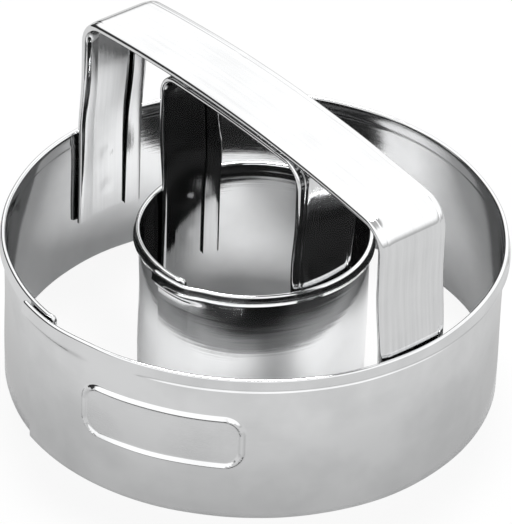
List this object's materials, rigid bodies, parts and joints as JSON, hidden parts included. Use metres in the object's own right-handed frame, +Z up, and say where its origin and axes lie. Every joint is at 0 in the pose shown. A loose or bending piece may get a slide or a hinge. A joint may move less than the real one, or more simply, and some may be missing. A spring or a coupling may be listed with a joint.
{
  "type": "doughnut cutter",
  "caption": "Polished steel doughnut cutter: two concentric cutting rings with hemmed rims and lapped seams, hung on nested U-shaped strap handles with folded edges.",
  "frame": {"origin": "centre of the two rings, at the cutting edges that stand on the table", "axes": "+Z up along the rings' axis, +X along the handles, the lap seams towards -Y"},
  "size_m": [0.0814, 0.0825, 0.0525],
  "materials": {
    "polished_steel": "bright polished stainless sheet with fine handling scratches",
    "weld_steel": "dull fused steel"
  },
  "bodies": {
    "root": {"outer_ring": "polished_steel", "inner_ring": "polished_steel", "outer_handle": "polished_steel", "inner_handle": "polished_steel", "outer_ring_seam_weld_1": "weld_steel", "outer_ring_seam_weld_2": "weld_steel", "inner_ring_seam_weld_1": "weld_steel", "inner_ring_seam_weld_2": "weld_steel", "outer_right_leg_weld_1": "weld_steel", "outer_right_leg_weld_2": "weld_steel", "outer_left_leg_weld_1": "weld_steel", "outer_left_leg_weld_2": "weld_steel", "inner_right_leg_weld_1": "weld_steel", "inner_right_leg_weld_2": "weld_steel", "inner_left_leg_weld_1": "weld_steel", "inner_left_leg_weld_2": "weld_steel", "crown_weld_right_front": "weld_steel", "crown_weld_right_back": "weld_steel", "crown_weld_left_front": "weld_steel", "crown_weld_left_back": "weld_steel"}
  },
  "joints": []
}
